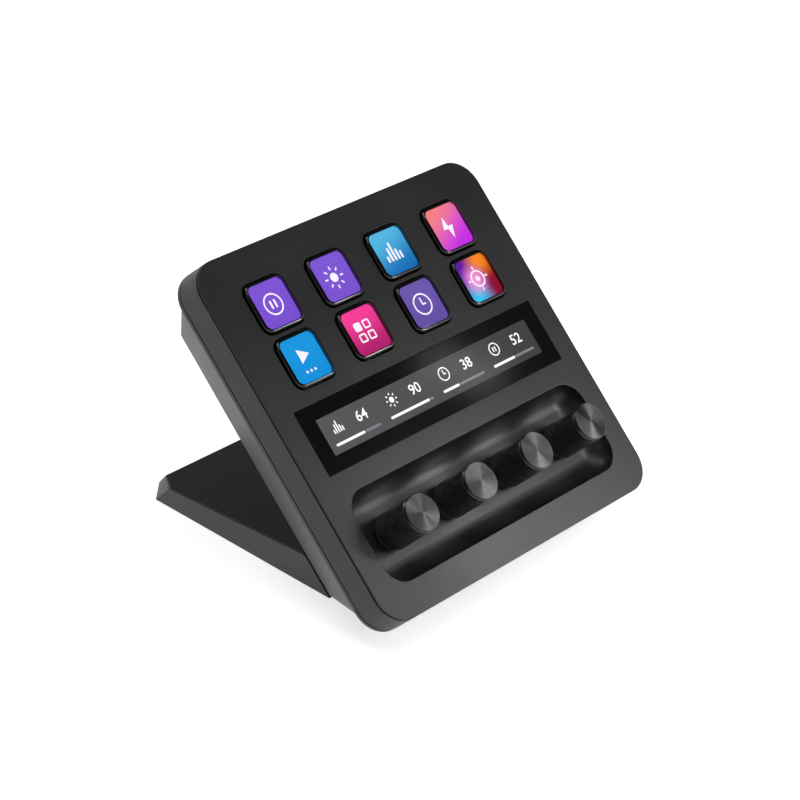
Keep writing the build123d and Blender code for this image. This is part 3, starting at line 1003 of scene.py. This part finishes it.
@dataclass(frozen=True)
class Strip:
    """The long display: black glass flush with the face, with its lit area, numbers, symbols and bars."""

    plane: FacePlane
    glass_radius: float = 0.5
    glass_edge: float = 0.12
    lit_width: float = 108.2
    lit_height: float = 13.7
    lit_radius: float = 0.1
    lit_reach: float = 60.0
    layer: float = 0.02
    bar_width: float = 0.95
    bar_margin: float = 2.6
    bar_gap: float = 0.3
    bar_foot: float = 2.9
    figure_size: float = 5.4
    figure_weight: float = 0.06
    figure_place: tuple[float, float] = (5.2, 1.6)
    symbol_stroke: float = 0.75
    symbol_scale: float = 0.62
    symbol_place: tuple[float, float] = (-6.6, 1.8)

    def build(self) -> None:
        """Make the glass and the layers lit in its top."""
        low, high = self.plane.span("strip_glass")
        width, height = high.x - low.x, high.y - low.y
        top_level = high.z - 2 * self.layer
        matrix = self.plane.matrix()

        clay = Clay()
        top = clay.plate(width, height, self.glass_radius, low.z, top_level)
        clay.rounded_rim(top, self.glass_edge, steps=2)
        black = GlossBlack("strip_black", "0a0a0b", roughness=0.09, wave=0.001).build()
        glass = clay.lay("strip_window", matrix, black, "keypad", "strip_gloss", smooth=20.0)
        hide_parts("strip_glass")

        clay = Clay()
        low_level, floor = top_level - self.layer, top_level + self.layer
        clay.plate(self.lit_width, self.lit_height, self.lit_radius, low_level, floor, steps=2)
        panel = LitPicture(
            "strip_lit", Blend.SLOPE, ("535356", "3c3c3e"), self.plane.middle, self.plane.tilt,
            reach=self.lit_reach, heading=0.0, strength=0.9, glazed=True,
        )
        clay.lay("strip_picture", matrix, panel.build(), "keypad", "display")
        self.marks(floor, matrix)

    def marks(self, floor: float, matrix: Matrix) -> None:
        """Lay the numbers, symbols and bars.

        Args:
            floor: Height of their underside.
            matrix: From the face's axes to the frame.
        """
        bright, dim = Clay(), Clay()
        pitch = self.lit_width / len(GAUGES)
        for index, gauge in enumerate(GAUGES):
            self.gauge(gauge, pitch * (index - (len(GAUGES) - 1) / 2), floor, bright, dim)
        for name, clay, codes in (
            ("strip_marks", bright, ("f0f0f2", "ededf0")),
            ("strip_tracks", dim, ("77777b", "747478")),
        ):
            finish = LitPicture(
                name, Blend.PLAIN, codes, self.plane.middle, self.plane.tilt,
                reach=self.lit_reach, glazed=True,
            )
            clay.lay(name, matrix, finish.build(), "keypad", "display")

    def gauge(self, gauge: Gauge, middle: float, floor: float, bright: Clay, dim: Clay) -> None:
        """Draw one gauge.

        Args:
            gauge: What it shows.
            middle: Its middle along x.
            floor: Height of its underside.
            bright: Mesh that takes the bar, the number and the symbol.
            dim: Mesh that takes the empty part of the bar.
        """
        top = floor + self.layer
        length = self.lit_width / len(GAUGES) - 2 * self.bar_margin
        filled = length * gauge.share
        rest = length - filled - self.bar_gap
        row = self.bar_foot - self.lit_height / 2
        radius = self.bar_width * ROUND_END
        place = (middle - length / 2 + filled / 2, row)
        bright.plate(filled, self.bar_width, radius, floor, top, place, steps=4)
        place = (middle + length / 2 - rest / 2, row)
        dim.plate(rest, self.bar_width, radius, floor, top, place, steps=4)

        x, y = self.figure_place
        bright.letters(gauge.text, self.figure_size, floor, top, (middle + x, y), self.figure_weight)

        x, y = self.symbol_place
        symbol = Symbol(gauge.motif, floor, top, self.symbol_stroke).draw()
        points = symbol.mesh.verts
        bmesh.ops.scale(symbol.mesh, verts=points, vec=(self.symbol_scale, self.symbol_scale, 1.0))
        bmesh.ops.translate(symbol.mesh, verts=points, vec=(middle + x, y, 0.0))
        bright.take(symbol)


# ---------------------------------------------------------------- dials
@dataclass(frozen=True)
class Dials:
    """The four dials: a knurled sleeve round its shaft, and a spun disc on top."""

    plane: FacePlane
    count: int = 4
    radius: float = 6.9
    hollow_radius: float = 5.6
    hollow_depth: float = 3.0
    bore_radius: float = 3.05
    bore_top: float = 9.0
    rim: float = 0.3
    knurl_teeth: int = 54
    knurl_row: float = 0.4
    knurl_depth: float = 0.26
    skin: float = 0.1
    worn_tip: tuple[float, float] = (0.14, 0.02)
    neck_radius: float = 6.2
    neck_height: float = 0.25
    disc_edge: float = 0.35
    disc_steps: int = 108

    def build(self) -> None:
        """Make every dial."""
        for number in range(1, self.count + 1):
            self.sleeve(number)
            self.disc(number)

    def matrix(self, number: int) -> Matrix:
        """Return the matrix from a dial's own axes to the frame."""
        return self.plane.matrix() @ Matrix.Translation(self.plane.centre(f"knob_{number}"))

    def sleeve(self, number: int) -> None:
        """Make a knob's sleeve with its diamond knurl."""
        node = f"knob_{number}"
        low, high = self.plane.span(node)
        shoulder = high.z - self.neck_height
        start = low.z + 2 * self.rim
        rows = int((shoulder - 2 * self.rim - start) / self.knurl_row)
        knurl = [start + self.knurl_row * index for index in range(rows + 1)]
        profile = [
            (0.0, self.bore_top),
            (self.bore_radius, self.bore_top),
            (self.bore_radius, low.z + self.hollow_depth),
            (self.hollow_radius, low.z + self.hollow_depth),
            (self.hollow_radius, low.z),
            (self.radius - self.rim, low.z),
            (self.radius, low.z + self.rim),
            *((self.radius, height) for height in knurl),
            (self.radius, shoulder - self.rim),
            (self.radius - self.rim, shoulder),
            (self.neck_radius, shoulder),
            (self.neck_radius, high.z),
            (0.0, high.z),
        ]
        clay = Clay()
        clay.turned(profile, 2 * self.knurl_teeth)
        for point in clay.mesh.verts:
            row = (point.co.z - start) / self.knurl_row
            reach = math.hypot(point.co.x, point.co.y)
            inside = -0.5 < row < rows + 0.5 and reach > self.radius - self.skin
            column = math.atan2(point.co.y, point.co.x) / math.pi * self.knurl_teeth
            if inside and (round(row) + round(column)) % 2:
                point.co.xy *= 1 - self.knurl_depth / self.radius
        matrix = self.matrix(number)
        tips = tuple(self.radius - depth for depth in self.worn_tip)
        finish = BlackAnodise(
            node, "050506", worn="505054", roughness=0.16, middle=matrix.translation,
            tilt=self.plane.tilt, tips=tips,
        ).build()
        body = f"dial_{number}"
        piece = clay.lay(f"knob_sleeve_{number}", matrix, finish, body, "knob_metal", smooth=18.0)
        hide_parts(node)

    def disc(self, number: int) -> None:
        """Make a knob's spun disc, with a map that runs outwards and then round it."""
        node = f"knob_disc_{number}"
        low, high = self.plane.span(node)
        radius = (high.x - low.x) / 2
        profile = [
            (0.0, low.z),
            (radius, low.z),
            (radius, high.z - self.disc_edge),
            (radius - self.disc_edge, high.z),
            (0.0, high.z),
        ]
        clay = Clay()
        clay.turned(profile, self.disc_steps)
        layer = clay.mesh.loops.layers.uv.new("spin")
        for face in clay.mesh.faces:
            middle = face.calc_center_median()
            heading = math.atan2(middle.y, middle.x)
            for loop in face.loops:
                x, y, _ = loop.vert.co
                reach = math.hypot(x, y)
                turn = math.remainder(math.atan2(y, x) - heading, 2 * math.pi) if reach > LEVEL else 0.0
                loop[layer].uv = (reach / radius, (heading + turn) / (2 * math.pi))
        matrix = self.matrix(number)
        finish = SpunMetal(
            f"disc_{number}", "4b4b4d", roughness=0.36, ring_pitch=0.09, middle=matrix.translation,
            tilt=self.plane.tilt,
        ).build()
        body = f"dial_{number}"
        piece = clay.lay(f"knob_face_{number}", matrix, finish, body, "disc_metal", smooth=20.0)
        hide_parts(node)


# ---------------------------------------------------------------- carried-over pieces
class Housing:
    """The frame's own pieces, which keep their shape and get their finish."""

    def __init__(self, plane: FacePlane) -> None:
        """Note where the face is.

        Args:
            plane: The face.
        """
        # painted shade for the seam gaps round the head, placed about the faceplate's middle
        self.seam_shade = SeamShade(plane.matrix() @ plane.centre("faceplate"), plane.tilt)

    def build(self) -> None:
        """Give each piece of the frame its material."""
        # the face, band and housing get painted shade in the seam gaps round the head
        face = MouldedPlastic("face_satin", "161516", 0.42, edge=0.1, seam_shade=self.seam_shade).build()
        band = MouldedPlastic("band_matt", "323233", 0.5, shine=0.4, seam_shade=self.seam_shade).build()
        housing = MouldedPlastic("housing_matt", "3e3e3f", 0.5, seam_shade=self.seam_shade).build()
        shell = MouldedPlastic("shell_matt", "3e3e3f", 0.5).build()
        lid = MouldedPlastic("lid_satin", "0e0e0e", 0.5, shine=0.25).build()
        rubber = MouldedPlastic("pad_rubber", "161616", 0.8, grain=0.3, grain_depth=0.02).build()
        silicone = MouldedPlastic("mat_silicone", "101011", 0.6, grain=0.3, grain_depth=0.006).build()
        board = MouldedPlastic("board_mask", "0c1a12", 0.35, grain=0.8, grain_depth=0.01).build()
        panel = GlossBlack("panel_black").build()
        nickel = RolledMetal("nickel", "b9b6ae", 0.28).build()
        dark_steel = RolledMetal("dark_steel", "2b2b2d", 0.38).build()
        plate = RolledMetal("galvanised", "9a9c9e", 0.42, streak=2.0).build()
        finishes = {
            "faceplate": face,
            "mid_frame": band,
            "rear_housing": housing,
            "base_cover": lid,
            "rubber_pad": rubber,
            "key_mat": silicone,
            "main_board": board,
            "strip_display": panel,
            "key_display": panel,
            "usb_socket": nickel,
            "bushing_nuts": nickel,
            "housing_screws": dark_steel,
            "base_screws": dark_steel,
            "stand_screws": dark_steel,
            "weight_plate": plate,
        }
        for name, node in frame["nodes"].items():
            plain = nickel if name.startswith(("shaft", "plunger", "encoder")) else shell
            node.data.materials.clear()
            node.data.materials.append(finishes.get(name, plain))
        log.info("dressed %d pieces of the frame", len(frame["nodes"]))


# ---------------------------------------------------------------- studio
@dataclass(frozen=True)
class Lamp:
    """A soft rectangular lamp that faces a point.

    Its way is from the front towards the right and its height above level, both in degrees. Its
    distance and size are in metres and its power in watts.
    """

    name: str
    target: Vector
    way: float
    height: float
    distance: float
    size: tuple[float, float]
    power: float


@dataclass(frozen=True)
class Studio:
    """A pale floor, soft lamps, the camera, and a world that is white low down and dark overhead."""

    focus: Vector = Vector((0.0, -0.0055, 0.0487))
    chin: Vector = Vector((0.0082, -0.0643, 0.0173))
    strip: Vector = Vector((0.0155, -0.0205, 0.0611))
    camera_way: float = 49.09
    camera_drop: float = 29.636
    camera_roll: float = 3.378
    camera_distance: float = 0.9264
    lens: float = 117.52
    floor_size: float = 4.0
    floor_tones: tuple[float, float] = (0.86, 0.9)
    floor_speck: float = 40.0
    floor_glow: float = 0.66
    glow_reach: tuple[float, float] = (260.0, 700.0)
    sky_low: float = 10.0
    sky_high: float = 28.0
    ceiling: float = 0.04

    def build(self) -> None:
        """Set up everything that isn't the object."""
        bpy.context.scene.view_settings.view_transform = "Standard"
        self.floor()
        self.world()
        for lamp in (
            Lamp("overhead", self.focus, -20.0, 80.0, distance=1.2, size=(0.8, 0.8), power=5.4),
            Lamp("front", self.chin, 49.6, 35.3, distance=0.23, size=(0.028, 0.107), power=0.152),
            Lamp("low", self.focus, 35.0, 20.0, distance=1.2, size=(0.3, 0.22), power=3.0),
            Lamp("rear", self.focus, -158.0, 60.0, distance=1.2, size=(0.34, 0.34), power=2.6),
            Lamp("streak", self.strip, 56.3, 35.6, distance=0.6, size=(0.02, 0.05), power=0.0043),
        ):
            self.hang(lamp)
        self.camera()

    def towards(self, way: float, height: float) -> Vector:
        """Return a direction: way in degrees from the front towards the right, height above level."""
        turn, rise = math.radians(way), math.radians(height)
        return Vector((math.sin(turn) * math.cos(rise), -math.cos(turn) * math.cos(rise), math.sin(rise)))

    def seen(self, graph: Graph) -> Socket:
        """Give 1 for rays from the camera, a mirror or a lens, and 0 for light that falls on things."""
        path = graph.add("ShaderNodeLightPath")
        glossy = graph.maths("MAXIMUM", path.outputs["Is Camera Ray"], path.outputs["Is Glossy Ray"])
        return graph.maths("MAXIMUM", glossy, path.outputs["Is Transmission Ray"])

    def floor(self) -> None:
        """Make the pale floor."""
        mesh = bmesh.new()
        bmesh.ops.create_grid(mesh, x_segments=8, y_segments=8, size=self.floor_size / 2)
        data = bpy.data.meshes.new("floor")
        mesh.to_mesh(data)
        mesh.free()
        floor = bpy.data.objects.new("floor", data)
        bpy.context.scene.collection.objects.link(floor)
        graph = Graph("floor_pale")
        where = graph.place(Vector())
        speck = graph.noise(where, self.floor_speck)
        glow = graph.ramp(graph.radius(where), *self.glow_reach, self.floor_glow, 1.0, kind="SMOOTHSTEP")
        graph.dress(
            Base_Color=graph.mix(speck, *(tint(WHITE, tone) for tone in self.floor_tones)),
            Roughness=0.9,
            Specular_IOR_Level=0.1,
            Emission_Color=WHITE,
            Emission_Strength=graph.maths("MULTIPLY", self.seen(graph), glow),
        )
        data.materials.append(graph.material)

    def world(self) -> None:
        """Make a world that is white to look at and lights things softly."""
        world = bpy.data.worlds.new("studio")
        world.use_nodes = True
        bpy.context.scene.world = world
        tree = world.node_tree
        background = tree.nodes["Background"]
        way = tree.nodes.new("ShaderNodeTexCoord")
        split = tree.nodes.new("ShaderNodeSeparateXYZ")
        strength = tree.nodes.new("ShaderNodeMapRange")
        strength.interpolation_type = "SMOOTHSTEP"
        for socket, value in (
            ("From Min", math.sin(math.radians(self.sky_low))),
            ("From Max", math.sin(math.radians(self.sky_high))),
            ("To Min", 1.0),
            ("To Max", self.ceiling),
        ):
            strength.inputs[socket].default_value = value
        tree.links.new(way.outputs["Generated"], split.inputs[0])
        tree.links.new(split.outputs["Z"], strength.inputs["Value"])
        tree.links.new(strength.outputs[0], background.inputs["Strength"])
        background.inputs["Color"].default_value = WHITE

    def hang(self, lamp: Lamp) -> None:
        """Add a lamp."""
        data = bpy.data.lights.new(lamp.name, "AREA")
        data.shape = "RECTANGLE"
        data.size, data.size_y = lamp.size
        data.energy = lamp.power
        light = bpy.data.objects.new(lamp.name, data)
        bpy.context.scene.collection.objects.link(light)
        direction = self.towards(lamp.way, lamp.height)
        light.location = lamp.target + direction * lamp.distance
        light.rotation_euler = direction.to_track_quat("Z", "Y").to_euler()

    def camera(self) -> None:
        """Add the camera, looking down at the object from the front left."""
        data = bpy.data.cameras.new("camera")
        data.lens = self.lens
        data.sensor_width = 36.0
        data.clip_start = 0.01
        camera = bpy.data.objects.new("camera", data)
        bpy.context.scene.collection.objects.link(camera)
        back = self.towards(-self.camera_way, self.camera_drop)
        level = back.to_track_quat("Z", "Y").to_matrix().to_4x4()
        roll = Matrix.Rotation(math.radians(self.camera_roll), 4, "Z")
        camera.matrix_world = Matrix.Translation(self.focus + back * self.camera_distance) @ level @ roll
        bpy.context.scene.camera = camera


def main() -> None:
    """Build the keypad's looks and the studio."""
    logging.basicConfig(level=logging.INFO, format="%(name)s: %(message)s")
    plane = FacePlane.from_frame(glass_thick=1.2)
    Housing(plane).build()
    Keys(plane).build()
    Strip(plane).build()
    Dials(plane).build()
    Studio().build()


if __name__ == "__main__":
    main()
